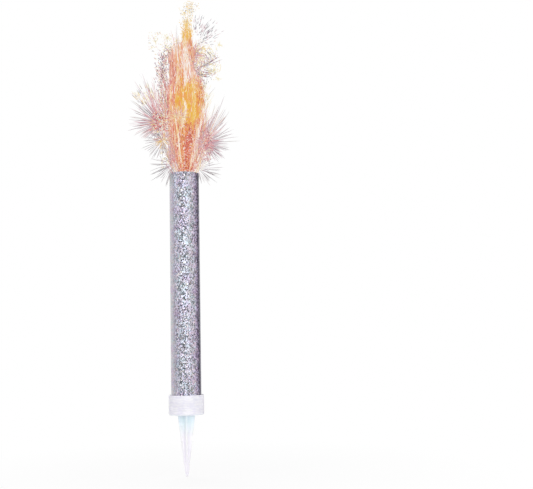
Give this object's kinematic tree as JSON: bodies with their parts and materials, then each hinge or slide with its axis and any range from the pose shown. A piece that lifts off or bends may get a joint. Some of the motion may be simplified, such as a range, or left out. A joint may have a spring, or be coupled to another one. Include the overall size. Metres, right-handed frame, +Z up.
{
  "type": "ice fountain",
  "caption": "Foil-wrapped cake fountain, shown burning with its plume of flame and sparks, in a plastic spike holder that it pulls out of.",
  "frame": {"origin": "on the tube's axis at the flat underside of the cup, which is where the top of the cake lies", "axes": "+Z up along the tube towards its burning mouth, spike along -Z, -Y towards the viewer of the picture"},
  "size_m": [0.0619, 0.0503, 0.24],
  "materials": {
    "holder_plastic": "milky translucent moulded plastic",
    "kraft_board": "rolled paper board",
    "holographic_foil": "silver holographic glitter film on paper",
    "clay": "pressed clay",
    "felt": "grey felt",
    "composition": "grey fibrous spark composition",
    "choke_board": "pale board with a scorched edge",
    "flame": "glowing gas in orange, yellow and red",
    "sparks": "fine glowing spark trails"
  },
  "bodies": {
    "holder": {"spike_holder": "holder_plastic"},
    "fountain": {"paper_tube": "kraft_board", "foil_wrap": "holographic_foil", "base_plug": "clay", "bottom_wad": "felt", "spark_charge": "composition", "choke_ring": "choke_board", "flame_core": "flame", "left_spark_burst": "sparks", "right_spark_burst": "sparks", "upper_right_spark_burst": "sparks", "upper_left_spark_burst": "sparks", "front_spark_burst": "sparks", "back_spark_burst": "sparks"}
  },
  "joints": [
    {"name": "tube_pull", "type": "slide", "parent": "holder", "child": "fountain", "axis": [0, 0, 1], "range_m": [0, 0.012]}
  ]
}
